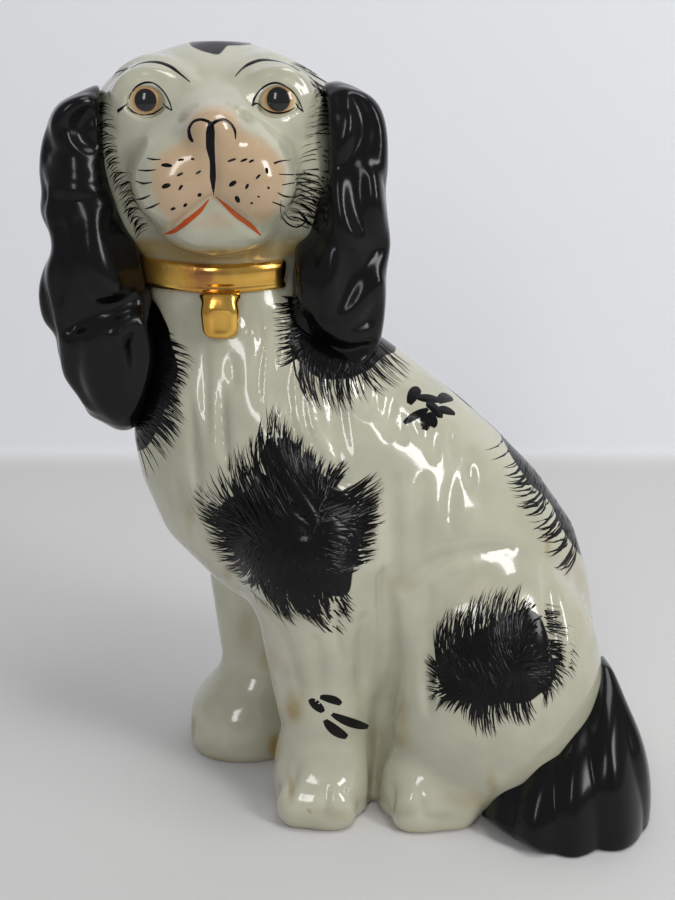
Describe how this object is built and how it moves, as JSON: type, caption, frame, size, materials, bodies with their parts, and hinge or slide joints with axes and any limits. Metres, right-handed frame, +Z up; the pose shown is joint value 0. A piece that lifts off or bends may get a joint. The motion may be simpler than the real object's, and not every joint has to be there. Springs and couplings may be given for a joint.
{
  "type": "staffordshire dog figure",
  "caption": "Seated spaniel mantel figure in hollow glazed earthenware, long black ears, painted patches, gilt collar with padlock, fan tail, flat underside to stand on a shelf.",
  "frame": {"origin": "middle of the flat underside of the base slab, which is also the mount resting_base", "axes": "+Z up, -Y the way the face looks, +X from the chest to the tail"},
  "size_m": [0.1969, 0.1044, 0.243],
  "materials": {
    "ivory_glaze": "glossy ivory lead glaze over earthenware, painted black patches",
    "black_glaze": "glossy black enamel glaze",
    "gilding": "bright gilt lustre over glaze",
    "eye_enamel": "painted amber iris and black pupil under glaze",
    "bare_clay": "unglazed fired clay"
  },
  "bodies": {
    "root": {"torso": "ivory_glaze", "base_slab": "bare_clay", "head": "ivory_glaze", "muzzle": "ivory_glaze", "right_ear": "black_glaze", "left_ear": "black_glaze", "tail": "black_glaze", "collar": "gilding", "padlock": "gilding", "right_eye": "eye_enamel", "left_eye": "eye_enamel", "right_foreleg": "ivory_glaze", "right_forepaw": "ivory_glaze", "right_haunch": "ivory_glaze", "right_hind_paw": "ivory_glaze", "left_foreleg": "ivory_glaze", "left_forepaw": "ivory_glaze", "left_haunch": "ivory_glaze", "left_hind_paw": "ivory_glaze"}
  },
  "joints": []
}
